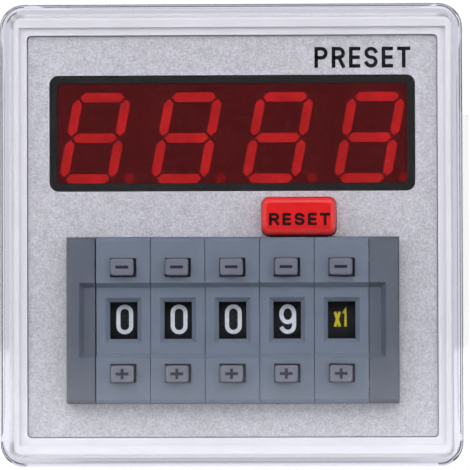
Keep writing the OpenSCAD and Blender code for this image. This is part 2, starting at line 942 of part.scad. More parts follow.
// End cap at the right of the stack, at a gap from the last unit
module end_cap(gap) {
    start = units * unit_pitch / 2 - unit_gap / 2 + gap;
    end = block_w / 2;
    difference() {
        intersection() {
            side_slab(start, end)
                block_outline(false);
            level_slab(block_h)
                polygon([
                    [start, block_y],
                    [end - cap_bevel, block_y],
                    [end, block_y + cap_bevel],
                    [end, block_back_y],
                    [start, block_back_y]
                ]);
        }
        slab(inner_y + over, block_back_y + over)
            translate([start - over, -block_h])
                square([end - cheek_t - start + over, 2 * block_h]);
        intersection() {
            side_slab(start - over, end)
                polygon([
                    [block_y - over, trough_h / 2],
                    [block_y, trough_h / 2],
                    [trough_y, trough_h / 2 - trough_bevel],
                    [trough_y, -trough_h / 2 + trough_bevel],
                    [block_y, -trough_h / 2],
                    [block_y - over, -trough_h / 2]
                ]);
            level_slab(block_h)
                polygon([
                    [start - over, block_y - over],
                    [end - cap_edge, block_y - over],
                    [end - cap_edge, block_y],
                    [end - cap_edge - trough_bevel, trough_y],
                    [start - over, trough_y]
                ]);
        }
        for (up = [-1, 1])
            translate([0, rod_y, up * rod_z])
                side_slab(start - over, end - cheek_t / 2)
                    circle(rod_r + running);
    }
    slab(floor_back_y, floor_back_y + cap_rib_t)
        translate([end - cheek_t / 2, -block_h / 3])
            square([cheek_t / 2 + cap_rib_out, block_h * 2 / 3]);
}

module left_end_cap() {
    color([0.38, 0.41, 0.47])
        translate([block_x, 0, block_z])
            mirror([1, 0, 0])
                end_cap(cap_gap);
}

module right_end_cap() {
    color([0.38, 0.41, 0.47])
        translate([block_x, 0, block_z])
            end_cap(unit_gap);
}

// Two rods that hold the stack together
module stack_rods() {
    reach = block_w / 2 - rod_short;
    color([0.7, 0.7, 0.72])
        for (up = [-1, 1])
            translate([block_x, rod_y, block_z + up * rod_z])
                side_slab(-reach, reach)
                    circle(rod_r);
}

// Board behind the display
module display_board() {
    color([0.12, 0.32, 0.2])
        slab(board_y, board_y + board_t)
            difference() {
                translate([-display_board_w / 2, display_board_z0])
                    square([display_board_w, display_board_z1 - display_board_z0]);
                for (side = [-1, 1])
                    translate([side * post_x, reset_z])
                        circle(screw_r + running);
            }
}

// Two pan-head screws that hold the display board
module board_screws() {
    color([0.75, 0.75, 0.77])
        for (side = [-1, 1])
            translate([side * post_x, 0, reset_z]) {
                slab(board_y - screw_l, board_y + board_t + screw_head_t / 2)
                    circle(screw_r);
                slab(board_y + board_t, board_y + board_t + screw_head_t)
                    circle(screw_head_r);
            }
}

// Controller chip on the back of the display board
module controller_chip() {
    leg_pitch = chip_size[0] / chip_legs;
    leg_z = chip_size[2] / 2 + chip_leg_out;
    color([0.1, 0.1, 0.11])
        translate([0, 0, window_z]) {
            difference() {
                slab(chip_y, chip_y + chip_size[1])
                    square([chip_size[0], chip_size[2]], center = true);
                slab(chip_y + chip_size[1] / 2, chip_y + chip_size[1] + over)
                    translate([-chip_size[0] / 2, 0])
                        circle(chip_notch_r);
            }
            for (i = [0:chip_legs - 1], side = [-1, 1])
                slab(board_y + board_t, chip_y + chip_size[1] / 2)
                    translate([(i - (chip_legs - 1) / 2) * leg_pitch, side * leg_z])
                        square([chip_leg_w, chip_leg_t], center = true);
        }
}

// Main board, held in the rails of the case
module main_board() {
    color([0.12, 0.32, 0.2])
        translate([0, 0, main_board_z - board_t / 2])
            level_slab(board_t)
                translate([-main_board_w / 2, main_board_y0])
                    square([main_board_w, main_board_y1 - main_board_y0]);
}

// Laminated core with two winding windows
module transformer_core() {
    color([0.45, 0.45, 0.47])
        translate([core_x, core_y, main_board_z + core_h / 2])
            side_slab(-core_t / 2, core_t / 2)
                difference() {
                    square([core_w, core_h], center = true);
                    for (side = [-1, 1])
                        translate([side * (core_leg + core_slot) / 2, 0])
                            square([core_slot, core_h - 2 * core_yoke], center = true);
                }
}

// Winding on the core's middle leg
module transformer_coil() {
    coil_w = core_leg + 2 * (core_slot - coil_gap);
    coil_h = core_h - 2 * (core_yoke + coil_gap);
    color([0.75, 0.55, 0.2])
        translate([core_x, core_y, main_board_z + core_h / 2])
            level_slab(coil_h)
                difference() {
                    outline(core_t + 2 * coil_out, coil_w, coil_corner);
                    square([core_t + 2 * coil_gap, core_leg + 2 * coil_gap], center = true);
                }
}

// Output relay on the main board
module output_relay() {
    color([0.12, 0.2, 0.35])
        translate([relay_x, relay_y, main_board_z])
            translate([0, 0, relay_size[2] / 2])
                level_slab(relay_size[2])
                    outline(relay_size[0], relay_size[1], relay_corner);
}

// Filter capacitor with its crimp
module filter_capacitor() {
    r = capacitor_d / 2;
    color([0.1, 0.12, 0.2])
        translate([capacitor_x, capacitor_y, main_board_z])
            rotate_extrude()
                difference() {
                    square([r, capacitor_l]);
                    translate([r + crimp_out, crimp_z])
                        circle(crimp_r);
                }
}

// Saw-toothed groove of one row of ratchet teeth, in the side view of the upper wall
module rack_outline() {
    top = case_h / 2;
    rack_end = rack_start + rack_count * rack_pitch;
    polygon(concat(
        [[rack_end, top + over], [rack_start, top + over]],
        [
            for (t = [0:rack_count - 1], p = [[0, rack_depth], [0.75, rack_tip]])
                [rack_start + (t + p[0]) * rack_pitch, top - p[1]]
        ],
        [[rack_end, top - rack_depth]]
    ));
}

// Window in the right wall that a catch snaps into
module catch_window(y) {
    translate([case_w / 2, 0, 0])
        slab(y - catch_room, y + catch_l + catch_room)
            square([4 * case_wall, arm_h + 2 * catch_room], center = true);
}

// Case with its board rails, catch windows and rows of ratchet teeth
module case_shell() {
    color([0.1, 0.1, 0.11]) {
        difference() {
            slab(-case_seat, case_depth)
                difference() {
                    outline(case_w, case_h, case_corner);
                    outline(case_in, case_in_h, case_corner - case_wall);
                }
            for (side = [0, 1])
                mirror([side, 0, 0]) {
                    translate([0, 0, block_z])
                        catch_window(catch_y);
                    catch_window(base_catch_y);
                }
            for (flip = [0, 1], side = [-1, 1])
                mirror([0, 0, flip])
                    side_slab(side * rack_x - rack_w / 2, side * rack_x + rack_w / 2)
                        rack_outline();
        }
        for (side = [0, 1], z = [main_board_z + seat_gap, main_board_z - board_t - seat_gap - rail_h])
            mirror([side, 0, 0])
                slab(main_board_y0, main_board_y1)
                    translate([case_in / 2 - rail_out, z])
                        square([rail_out + case_wall / 2, rail_h]);
    }
}

// Snap arm of the base on the right side
module base_arm() {
    level_slab(arm_h) {
        translate([arm_x - arm_t, base_arm_y])
            square([arm_t, base_y + base_t / 2 - base_arm_y]);
        polygon([
            [arm_x, base_catch_y + catch_l],
            [arm_x + catch_out, base_catch_y + catch_l],
            [arm_x, base_catch_y]
        ]);
    }
}

// Turns a half-section, the radius along x and the depth along y, about the depth's axis
module turned() {
    rotate([-90, 0, 0])
        rotate_extrude()
            children();
}

// Puts a child at each pin, the key being below the middle
module at_pins() {
    for (i = [0:pins - 1])
        rotate([0, (i + 0.5) * 360 / pins, 0])
            translate([pin_circle / 2, 0, 0])
                children();
}

// Base plate with its round boss, keyed post and snap arms
module rear_base() {
    key_r = key_d / 2;
    color([0.12, 0.12, 0.13])
        difference() {
            union() {
                slab(base_y, boss_y)
                    outline(case_w, case_h, case_corner);
                slab(base_y + base_t / 2, pin_y)
                    circle(d = boss_d);
                turned()
                    polygon([
                        [0, boss_y],
                        [key_r, boss_y],
                        [key_r, key_end_y - key_tip],
                        [key_r - key_slope, key_end_y],
                        [0, key_end_y]
                    ]);
                slab(boss_y, key_end_y - key_tip)
                    translate([-key_w / 2, -key_r - key_out])
                        square([key_w, key_r + key_out]);
                base_arm();
                mirror([1, 0, 0])
                    base_arm();
            }
            at_pins()
                slab(base_y - over, pin_y + over)
                    circle(shank_r + running);
        }
}

// Round board that the pins are soldered to
module pin_board() {
    color([0.12, 0.32, 0.2])
        difference() {
            slab(pin_board_y, pin_board_y + board_t)
                circle(d = pin_board_d);
            at_pins()
                slab(pin_board_y - over, pin_board_y + board_t + over)
                    circle(shank_r + running);
        }
}

// Eight plug pins, thinner where they pass through the base
module plug_pins() {
    r = pin_d / 2;
    color([0.8, 0.78, 0.7])
        at_pins()
            turned()
                polygon([
                    [0, solder_y],
                    [shank_r, solder_y],
                    [shank_r, pin_y],
                    [r, pin_y],
                    [r, pin_end_y - pin_tip],
                    [r - pin_slope, pin_end_y],
                    [0, pin_end_y]
                ]);
}

front_cover();
bezel();
face_plate();
display_housing();
display_segments();
display_film();
reset_button();
reset_switch();
reset_plunger();
left_end_cap();
right_end_cap();
for (n = [1:units]) {
    switch_housing(n);
    digit_wheel(n);
    contact_wiper(n);
    contact_board(n);
    minus_button(n);
    plus_button(n);
}
stack_rods();
display_board();
board_screws();
controller_chip();
main_board();
transformer_core();
transformer_coil();
output_relay();
filter_capacitor();
case_shell();
rear_base();
pin_board();
plug_pins();
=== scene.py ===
import json
import math

import bmesh
import bpy
from mathutils import Matrix, Vector


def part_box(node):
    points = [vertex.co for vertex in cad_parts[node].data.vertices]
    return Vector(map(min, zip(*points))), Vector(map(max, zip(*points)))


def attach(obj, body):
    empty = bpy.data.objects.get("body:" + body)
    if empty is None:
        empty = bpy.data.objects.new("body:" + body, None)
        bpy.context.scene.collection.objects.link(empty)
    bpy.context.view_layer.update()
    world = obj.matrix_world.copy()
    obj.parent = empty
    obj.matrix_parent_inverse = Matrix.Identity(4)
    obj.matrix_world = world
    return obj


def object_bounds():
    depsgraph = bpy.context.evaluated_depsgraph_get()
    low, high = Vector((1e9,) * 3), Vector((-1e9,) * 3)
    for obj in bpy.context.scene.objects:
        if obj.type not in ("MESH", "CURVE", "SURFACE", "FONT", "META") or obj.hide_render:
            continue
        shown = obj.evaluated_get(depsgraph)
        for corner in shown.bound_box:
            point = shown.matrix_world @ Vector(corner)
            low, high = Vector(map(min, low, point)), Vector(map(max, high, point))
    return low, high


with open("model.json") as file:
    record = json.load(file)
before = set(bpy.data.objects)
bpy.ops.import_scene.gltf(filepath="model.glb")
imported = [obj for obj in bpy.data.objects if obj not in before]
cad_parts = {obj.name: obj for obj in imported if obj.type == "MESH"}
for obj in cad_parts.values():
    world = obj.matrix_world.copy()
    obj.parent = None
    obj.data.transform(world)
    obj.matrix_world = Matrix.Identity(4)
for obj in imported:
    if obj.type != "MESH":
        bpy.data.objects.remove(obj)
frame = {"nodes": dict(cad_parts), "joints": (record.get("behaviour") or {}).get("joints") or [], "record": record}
cad_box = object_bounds()

MM = 0.001
UNITS = range(1, 6)

# Camera: the photograph's view, almost straight at the front. Its angles are in degrees
CAMERA_DISTANCE = 450 * MM
CAMERA_ELEVATION = -1.25
CAMERA_AZIMUTH = 1.4
CAMERA_ROLL = -0.17
CAMERA_CLIP = (0.01, 10)
PIXELS_PER_MM = 9.1
IMAGE_PIXELS = 470
PLATE_CENTRE_PIXEL = (232.5, 236.2)
SENSOR_MM = 36

# Lamps, all aimed at the origin: the place of each, its width and height, and its power in watts
LAMPS = {
    "key_light": ((-0.1, -0.65, 0.5), (1.0, 0.6), 5.3),
    "left_light": ((-0.6, -0.45, 0.15), (0.5, 0.6), 2.05),
    "right_light": ((0.6, -0.45, 0.15), (0.5, 0.6), 2.1),
}

# World: dark ahead of the part, where the flat pane mirrors it, and light from there backwards.
# The ends of the change are given by the y of the direction
WORLD_DARK_Y = -0.97
WORLD_LIGHT_Y = 0.1
WORLD_DARK = 0.02
WORLD_LIGHT = 1.05

# Floor: half its side, and the y where its glow starts and where it is full
FLOOR_HALF = 2
FLOOR_GLOW = (-0.13, 0.06)

# Clear pieces: the colour of their shadow, and the tint inside the cover's walls
CLEAR_SHADOW = (0.92, 0.92, 0.94, 1)
COVER_TINT = (0.2, 0.2, 0.42, 1)
COVER_TINT_DENSITY = 52

# Display: how strongly the bars are lit, and where the decimal points are
BAR_GLOW = 4.5
DIGIT_PITCH = 10.07 * MM
FIRST_POINT_X = -11.36 * MM
POINT_REACH = 0.7 * MM
POINT_TOP = 7.2 * MM

# Face plate: how much its coarse grain counts beside the fine one, and how dark and light its sparkle is
PLATE_COARSE = 0.35
PLATE_DARK = 0.78
PLATE_LIGHT = 1.2

# Reset button: how far up from its lower edge its red is darkened by painted shade, and by what factor
RESET_SHADE_REACH = 1.3 * MM
RESET_SHADE_FACTOR = 0.65

# Lettering: half the width and height of a letter between the centre lines of its strokes, the thickness of
# the strokes, and how far a label lies off the middle of its place
TITLE_WORD = "PRESET"
TITLE_HALF = (0.53 * MM, 0.95 * MM)
TITLE_STROKE = 0.4 * MM
TITLE_RIGHT = 19.6 * MM
TITLE_Z = 19.6 * MM
LEGEND_WORD = "RESET"
LEGEND_HALF = (0.4 * MM, 0.52 * MM)
LEGEND_STROKE = 0.32 * MM
LEGEND_SHIFT = (0.1 * MM, -0.33 * MM)
DIGIT_HALF = (0.7 * MM, 1.41 * MM)
DIGIT_STROKE = 0.45 * MM
DIGIT_SHIFT = (0.05 * MM, 0.12 * MM)
FACTOR_HALF = (0.22 * MM, 0.85 * MM)
FACTOR_STROKE = 0.3 * MM
FACTOR_SHIFT = (-0.16 * MM, 0.28 * MM)
SIGN_HALF = (0.54 * MM, 0.4 * MM)
SIGN_STROKE = 0.32 * MM

# All labels: the space between letters in strokes, the thickness of the print, and how much higher each band
# of a label lies than the one before
LETTER_SPACE = 2.1
PRINT_THICKNESS = 0.02 * MM
STROKE_LIFT = 0.002 * MM

# Lines: the degrees of a step along an arc, the last angle of a closed one, and the limit of a mitre
ARC_STEP = 15
ARC_ROUND = 360 - ARC_STEP
MITRE_LIMIT = 0.5

# Buttons: points this close to the front of a button belong to its face, and the sign is put in its middle
HEAD_DEPTH = 0.01 * MM

# Wheels: the widest that a label may be, the height of the slices that follow the rim, the degrees between
# two labels, the digit that each wheel shows, and the labels of the digit wheels and of the fifth one
LABEL_ROOM = 2.4 * MM
WHEEL_SLICE = 0.3 * MM
WHEEL_STEP = 36
SHOWN_DIGITS = {1: 0, 2: 0, 3: 0, 4: 9}
DIGITS = [str(digit) for digit in range(10)]
FACTORS = ["x1", "x10", "x100"] * 3 + ["x1"]


# Colours and shader nodes

def srgb(r, g, b):
    """Linear colour of an sRGB one in 0 to 255."""
    def linear(c):
        c /= 255
        return c / 12.92 if c <= 0.04045 else ((c + 0.055) / 1.055) ** 2.4
    return (linear(r), linear(g), linear(b), 1)


def scaled(colour, factor):
    """Colour times a factor, up to full."""
    return tuple(min(1, c * factor) for c in colour[:3]) + (1,)


class Shader:
    """A material with its principled shader, and short ways to add nodes to it."""

    def __init__(self, name, colour, roughness, **sockets):
        self.material = bpy.data.materials.new(name)
        self.material.use_nodes = True
        self.tree = self.material.node_tree
        self.principled = self.tree.nodes["Principled BSDF"]
        self.output = self.tree.nodes["Material Output"]
        self.colour = colour
        self.set("Base Color", colour)
        self.set("Roughness", roughness)
        for socket, value in sockets.items():
            self.set(socket.replace("_", " "), value)
        self.place = self.add("ShaderNodeTexCoord").outputs["Object"]

    def add(self, kind, **values):
        node = self.tree.nodes.new(kind)
        for name, value in values.items():
            setattr(node, name, value)
        return node

    def feed(self, socket, value):
        """Links another node's output to a socket, or sets the socket to a constant."""
        if isinstance(value, bpy.types.NodeSocket):
            self.tree.links.new(value, socket)
        else:
            socket.default_value = value

    def set(self, socket, value):
        self.feed(self.principled.inputs[socket], value)

    def along(self, axis):
        """Place on the piece along X, Y or Z."""
        node = self.add("ShaderNodeSeparateXYZ")
        self.feed(node.inputs[0], self.place)
        return node.outputs[axis]

    def noise(self, size, detail=2.0, stretch=(1, 1, 1)):
        """Noise whose features are about size metres across."""
        spread = self.add("ShaderNodeMapping")
        self.feed(spread.inputs["Scale"], [s / size for s in stretch])
        self.feed(spread.inputs["Vector"], self.place)
        node = self.add("ShaderNodeTexNoise")
        self.feed(node.inputs["Scale"], 1)
        self.feed(node.inputs["Detail"], detail)
        self.feed(node.inputs["Vector"], spread.outputs["Vector"])
        return node.outputs["Fac"]

    def math(self, operation, *values):
        node = self.add("ShaderNodeMath", operation=operation)
        for socket, value in zip(node.inputs, values):
            self.feed(socket, value)
        return node.outputs[0]

    def remap(self, value, low, high, start=0.3, end=0.7):
        """Runs from low to high while value goes from start to end, by default the span of a noise."""
        node = self.add("ShaderNodeMapRange")
        self.feed(node.inputs["Value"], value)
        self.feed(node.inputs["From Min"], start)
        self.feed(node.inputs["From Max"], end)
        self.feed(node.inputs["To Min"], low)
        self.feed(node.inputs["To Max"], high)
        return node.outputs["Result"]

    def mix(self, factor, first, second):
        """Mixes two colours. The node's sockets share their names, so they are taken by number."""
        node = self.add("ShaderNodeMix", data_type="RGBA")
        for index, value in ((0, factor), (6, first), (7, second)):
            self.feed(node.inputs[index], value)
        return node.outputs[2]

    def vary(self, value, amount):
        """Colour that runs a little darker and lighter with value."""
        factor = self.remap(value, 0, 1)
        return self.mix(factor, scaled(self.colour, 1 - amount), scaled(self.colour, 1 + amount))

    def gloss(self, value, roughness, amount):
        """Roughness that runs a little lower and higher with value."""
        self.set("Roughness", self.remap(value, roughness - amount, roughness + amount))

    def bump(self, height, distance, strength, round_edges=0.0):
        """Small relief of the surface, over edges that are rounded by a radius."""
        node = self.add("ShaderNodeBump")
        self.feed(node.inputs["Distance"], distance)
        self.feed(node.inputs["Strength"], strength)
        self.feed(node.inputs["Height"], height)
        if round_edges:
            bevel = self.add("ShaderNodeBevel", samples=4)
            self.feed(bevel.inputs["Radius"], round_edges)
            self.feed(node.inputs["Normal"], bevel.outputs["Normal"])
        self.set("Normal", node.outputs["Normal"])


def moulded(name, colour, roughness, spread, grain=0.12 * MM, depth=0.004 * MM, edges=0.0, **sockets):
    """Moulded plastic: soft mottling, fine grain and slightly uneven gloss."""
    shader = Shader(name, colour, roughness, **sockets)
    mottle = shader.noise(2.5 * MM, detail=3.0)
    fine = shader.noise(grain, detail=1.0)
    shader.set("Base Color", shader.vary(mottle, spread))
    shader.gloss(fine, roughness, amount=0.06)
    shader.bump(fine, depth, strength=0.6, round_edges=edges)
    return shader.material


def sparkling_metal(name, colour):
    """Fine matt silver with the sparkle of a blasted surface."""
    shader = Shader(name, colour, roughness=0.42, Metallic=0.35)
    fine = shader.noise(0.16 * MM, detail=1.0)
    coarse = shader.noise(0.7 * MM)
    both = shader.math("MULTIPLY_ADD", coarse, PLATE_COARSE, fine)
    sparkle = shader.remap(both, 0, 1, start=0.45, end=0.9)
    dark, light = scaled(colour, PLATE_DARK), scaled(colour, PLATE_LIGHT)
    shader.set("Base Color", shader.mix(sparkle, dark, light))
    shader.set("Roughness", shader.remap(fine, low=0.34, high=0.52))
    shader.bump(fine, distance=0.006 * MM, strength=0.5)
    return shader.material


def lamps_pass(shader):
    """Lets lamps shine through a clear piece: its shadow is a clear one."""
    path = shader.add("ShaderNodeLightPath")
    clear = shader.add("ShaderNodeBsdfTransparent")
    shader.feed(clear.inputs["Color"], CLEAR_SHADOW)
    either = shader.add("ShaderNodeMixShader")
    shader.feed(either.inputs[0], path.outputs["Is Shadow Ray"])
    shader.feed(either.inputs[1], shader.principled.outputs[0])
    shader.feed(either.inputs[2], clear.outputs[0])
    shader.feed(shader.output.inputs["Surface"], either.outputs[0])


def clear_plastic(name):
    """Clear moulding with a faint lavender tint along the length of its walls."""
    shader = Shader(name, (1, 1, 1, 1), roughness=0.03, IOR=1.5, Transmission_Weight=1.0)
    haze = shader.noise(6 * MM)
    shader.set("Roughness", shader.remap(haze, low=0.015, high=0.05))
    tint = shader.add("ShaderNodeVolumeAbsorption")
    shader.feed(tint.inputs["Color"], COVER_TINT)
    shader.feed(tint.inputs["Density"], COVER_TINT_DENSITY)
    shader.feed(shader.output.inputs["Volume"], tint.outputs[0])
    lamps_pass(shader)
    return shader.material


def red_film(name):
    """Dark red film, partly milky, with the light bars showing through."""
    shader = Shader(name, srgb(118, 28, 30), roughness=0.12, IOR=1.45, Transmission_Weight=0.75)
    cloud = shader.noise(5 * MM, detail=3.0)
    shader.set("Base Color", shader.vary(cloud, amount=0.08))
    lamps_pass(shader)
    return shader.material


def light_bars(name):
    """Cast epoxy bars, lit from inside and a little uneven. The decimal points are hardly lit."""
    shader = Shader(name, srgb(150, 24, 24), roughness=0.4, Emission_Strength=BAR_GLOW)
    cloud = shader.noise(1.5 * MM)
    glow = shader.mix(shader.remap(cloud, 0, 1), srgb(215, 130, 130), srgb(255, 160, 155))
    from_first = shader.math("SUBTRACT", shader.along("X"), FIRST_POINT_X)
    from_nearest = shader.math("WRAP", from_first, DIGIT_PITCH / 2, -DIGIT_PITCH / 2)
    in_column = shader.math("LESS_THAN", shader.math("ABSOLUTE", from_nearest), POINT_REACH)
    is_low = shader.math("LESS_THAN", shader.along("Z"), POINT_TOP)
    is_point = shader.math("MULTIPLY", in_column, is_low)
    shader.set("Emission Color", shader.mix(is_point, glow, srgb(130, 12, 10)))
    return shader.material


def reset_red(name, lower_edge):
    """Glossy red moulding, a little deeper in places, with painted shade darkening it towards its lower edge."""
    shader = Shader(
        name, srgb(212, 10, 10), roughness=0.4,
        Specular_IOR_Level=0.2, Coat_Weight=0.8, Coat_Roughness=0.1,
    )
    cloud = shader.noise(2.2 * MM)
    # Painted shade: the red darkens towards the button's lower edge
    height = shader.remap(shader.along("Z"), 0, 1, lower_edge, lower_edge + RESET_SHADE_REACH)
    painted_shade = scaled(shader.colour, RESET_SHADE_FACTOR)
    shader.set("Base Color", shader.mix(height, painted_shade, shader.vary(cloud, amount=0.1)))
    shader.set("Roughness", shader.remap(cloud, low=0.35, high=0.46))
    return shader.material


def circuit_board(name):
    """Green solder mask with paler tracks under it."""
    shader = Shader(name, srgb(24, 84, 50), roughness=0.35)
    tracks = shader.noise(1.8 * MM, detail=0.0, stretch=(1, 0.25, 1))
    is_track = shader.remap(tracks, 0, 1, start=0.48, end=0.52)
    shader.set("Base Color", shader.mix(is_track, srgb(20, 74, 44), srgb(40, 112, 66)))
    shader.bump(tracks, distance=0.02 * MM, strength=0.4)
    return shader.material


def metal(name, colour, roughness, stretch=(1, 1, 1)):
    """Bare metal with fine drawing marks."""
    shader = Shader(name, colour, roughness, Metallic=1.0)
    marks = shader.noise(0.3 * MM, stretch=stretch)
    shader.set("Base Color", shader.vary(marks, amount=0.08))
    shader.gloss(marks, roughness, amount=0.08)
    return shader.material


def laminated(name):
    """Varnished core plates, a fine line at each lamination across x."""
    shader = Shader(name, srgb(104, 104, 108), roughness=0.4, Metallic=0.6)
    lines = shader.noise(0.4 * MM, detail=0.0, stretch=(1, 0.01, 0.01))
    shader.set("Base Color", shader.vary(lines, amount=0.3))
    shader.bump(lines, distance=0.05 * MM, strength=0.6)
    return shader.material


def ink(name, colour):
    """Printed lettering, matt and very slightly uneven."""
    shader = Shader(name, colour, roughness=0.7, Specular_IOR_Level=0.15)
    cloud = shader.noise(0.5 * MM)
    shader.set("Base Color", shader.vary(cloud, amount=0.1))
    return shader.material


reset_low, reset_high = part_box("reset_button")

# The numbers after the colour of a moulding are its roughness and the spread of its colour, and the one after
# that of a metal is its roughness
SLOT_MATERIALS = {
    "clear_cover": clear_plastic("clear_cover"),
    "bezel_plastic": moulded("bezel_plastic", srgb(216, 216, 220), 0.4, 0.02),
    "face_metal": sparkling_metal("face_metal", srgb(192, 192, 197)),
    "display_black": moulded("display_black", srgb(13, 12, 12), 0.6, 0.1, Specular_IOR_Level=0.25),
    "display_red": light_bars("display_red"),
    "red_film": red_film("red_film"),
    "reset_red": reset_red("reset_red", reset_low.z),
    "switch_grey": moulded("switch_grey", srgb(97, 108, 122), 0.48, 0.05, edges=0.08 * MM),
    "cap_grey": moulded("cap_grey", srgb(79, 85, 97), 0.48, 0.05, edges=0.08 * MM),
    "button_grey": moulded("button_grey", srgb(101, 104, 117), 0.45, 0.05, edges=0.06 * MM),
    "wheel_black": moulded("wheel_black", srgb(14, 16, 20), 0.6, 0.1, Specular_IOR_Level=0.2),
    "contact_brass": metal("contact_brass", srgb(205, 168, 90), 0.3),
    "board_green": circuit_board("board_green"),
    "switch_black": moulded("switch_black", srgb(30, 30, 32), 0.5, 0.1),
    "steel": metal("steel", srgb(190, 190, 194), 0.3, stretch=(0.05, 1, 1)),
    "core_steel": laminated("core_steel"),
    "coil_tape": moulded("coil_tape", srgb(205, 160, 60), 0.35, 0.06),
    "relay_blue": moulded("relay_blue", srgb(40, 66, 112), 0.3, 0.04),
    "capacitor_sleeve": moulded("capacitor_sleeve", srgb(32, 38, 62), 0.3, 0.05),
    "case_black": moulded(
        "case_black", srgb(38, 38, 40), 0.5, 0.1, grain=0.3 * MM, depth=0.03 * MM, edges=0.3 * MM,
    ),
    "base_black": moulded(
        "base_black", srgb(34, 34, 37), 0.42, 0.1, grain=0.25 * MM, depth=0.02 * MM, edges=0.25 * MM,
    ),
    "pin_metal": metal("pin_metal", srgb(206, 202, 192), 0.28, stretch=(1, 0.05, 1)),
}

for row in frame["record"]["subparts"]:
    piece = frame["nodes"][row["node"]]
    piece.data.materials.clear()
    piece.data.materials.append(SLOT_MATERIALS[row["material_slot"]])


# Lettering

def raised(mesh, place, lift, slices):
    """Gives a flat mesh its thickness and puts each of its points at place(right, up, out).

    Lift is how far it is off the surface. Slices is the height of the bands it is cut into, so that it can
    follow a round surface, or 0 for none."""
    shape = bmesh.new()
    shape.from_mesh(mesh)
    if slices:
        heights = [v.co.y for v in shape.verts]
        steps = int((max(heights) - min(heights)) / slices)
        for step in range(1, steps + 1):
            cut = min(heights) + step * slices
            geometry = shape.verts[:] + shape.edges[:] + shape.faces[:]
            bmesh.ops.bisect_plane(shape, geom=geometry, plane_co=(0, cut, 0), plane_no=(0, 1, 0))
    grown = bmesh.ops.extrude_face_region(shape, geom=shape.faces[:])
    for part in grown["geom"]:
        if isinstance(part, bmesh.types.BMVert):
            part.co.z += PRINT_THICKNESS
    for vertex in shape.verts:
        vertex.co = place(vertex.co.x, vertex.co.y, vertex.co.z + lift)
    bmesh.ops.recalc_face_normals(shape, faces=shape.faces[:])
    shape.to_mesh(mesh)
    shape.free()
    return mesh


def joined(meshes):
    """One mesh of several."""
    shape = bmesh.new()
    for mesh in meshes:
        shape.from_mesh(mesh)
        bpy.data.meshes.remove(mesh)
    whole = bpy.data.meshes.new("joined")
    shape.to_mesh(whole)
    shape.free()
    return whole


def add_piece(name, mesh, body, material):
    """Puts a mesh into the scene as a piece that rides on a body."""
    mesh.name = name
    piece = bpy.data.objects.new(name, mesh)
    bpy.context.scene.collection.objects.link(piece)
    mesh.materials.append(material)
    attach(piece, body)


def on_front(x, y, z):
    """Places a point of a flat word on a surface that faces the front."""
    return lambda right, up, out: Vector((x + right, y - out, z + up))


def on_wheel(axis, radius, turn, squeeze):
    """Places a point of a flat word on the rim of a wheel, at a turn from its front.

    Squeeze is a factor for the word's width."""
    def place(right, up, out):
        angle = turn + up / radius
        reach = radius + out
        return axis + Vector((right * squeeze, -reach * math.cos(angle), reach * math.sin(angle)))
    return place


def arc(x, y, rx, ry, first, last):
    """Points of an arc of an ellipse, from one angle in degrees to another."""
    steps = max(2, round(abs(last - first) / ARC_STEP))
    angles = [math.radians(first + (last - first) * i / steps) for i in range(steps + 1)]
    return [(x + rx * math.cos(a), y + ry * math.sin(a)) for a in angles]


def turned(strokes):
    """Strokes upside down."""
    return [([(-x, -y) for x, y in points], closed) for points, closed in strokes]


def nine(a, b):
    """The bowl and the tail of a 9."""
    bowl = 0.62 * b
    tail = [(a, b - bowl)] + arc(0, a - b, a, a, 0, -150)
    return [(arc(0, b - bowl, a, bowl, 0, ARC_ROUND), True), (tail, False)]


def bowl_letter(a, b):
    """The stem and the bowl of a P."""
    bowl = 0.52 * b
    stem = [(-a, -b), (-a, b)]
    return [(stem + arc(a - bowl, b - bowl, bowl, bowl, 90, -90) + [(-a, b - 2 * bowl)], False)]


# Centre lines of each figure that is 2a wide and 2b high: the points of each one, and whether it is closed
STROKES = {
    "0": lambda a, b: [(arc(0, b - a, a, a, 0, 180) + arc(0, a - b, a, a, 180, 360), True)],
    "1": lambda a, b: [([(-0.5 * a, 0.68 * b), (0.2 * a, b), (0.2 * a, -b)], False)],
    "2": lambda a, b: [(arc(0, b - a, a, a, 175, -30) + [(-a, -b), (a, -b)], False)],
    "3": lambda a, b: [(
        arc(0, 0.55 * b, 0.9 * a, 0.45 * b, 150, -90)[:-1] + arc(0, -0.45 * b, a, 0.55 * b, 90, -150),
        False,
    )],
    "4": lambda a, b: [
        ([(0.2 * a, b), (-a, -0.4 * b), (a, -0.4 * b)], False),
        ([(0.45 * a, 0.3 * b), (0.45 * a, -b)], False),
    ],
    "5": lambda a, b: [(
        [(0.9 * a, b), (-0.75 * a, b), (-0.9 * a, 0.05 * b)] + arc(0, -0.4 * b, a, 0.6 * b, 130, -150),
        False,
    )],
    "6": lambda a, b: turned(nine(a, b)),
    "7": lambda a, b: [([(-a, b), (a, b), (-0.3 * a, -b)], False)],
    "8": lambda a, b: [
        (arc(0, 0.52 * b, 0.88 * a, 0.48 * b, 0, ARC_ROUND), True),
        (arc(0, -0.46 * b, a, 0.54 * b, 0, ARC_ROUND), True),
    ],
    "9": nine,
    "x": lambda a, b: [([(-a, -b), (a, 0.55 * b)], False), ([(-a, 0.55 * b), (a, -b)], False)],
    "-": lambda a, b: [([(-a, 0), (a, 0)], False)],
    "+": lambda a, b: [([(-a, 0), (a, 0)], False), ([(0, -b), (0, b)], False)],
    "E": lambda a, b: [
        ([(0.8 * a, b), (-0.8 * a, b), (-0.8 * a, -b), (0.8 * a, -b)], False),
        ([(-0.8 * a, 0), (0.7 * a, 0)], False),
    ],
    "P": bowl_letter,
    "R": lambda a, b: bowl_letter(a, b) + [([(0.1 * a, 0), (a, -b)], False)],
    "S": lambda a, b: [(
        arc(0, 0.5 * b, a, 0.5 * b, 20, 270)[:-1] + arc(0, -0.5 * b, a, 0.5 * b, 90, -160),
        False,
    )],
    "T": lambda a, b: [([(-a, b), (a, b)], False), ([(0, b), (0, -b)], False)],
}
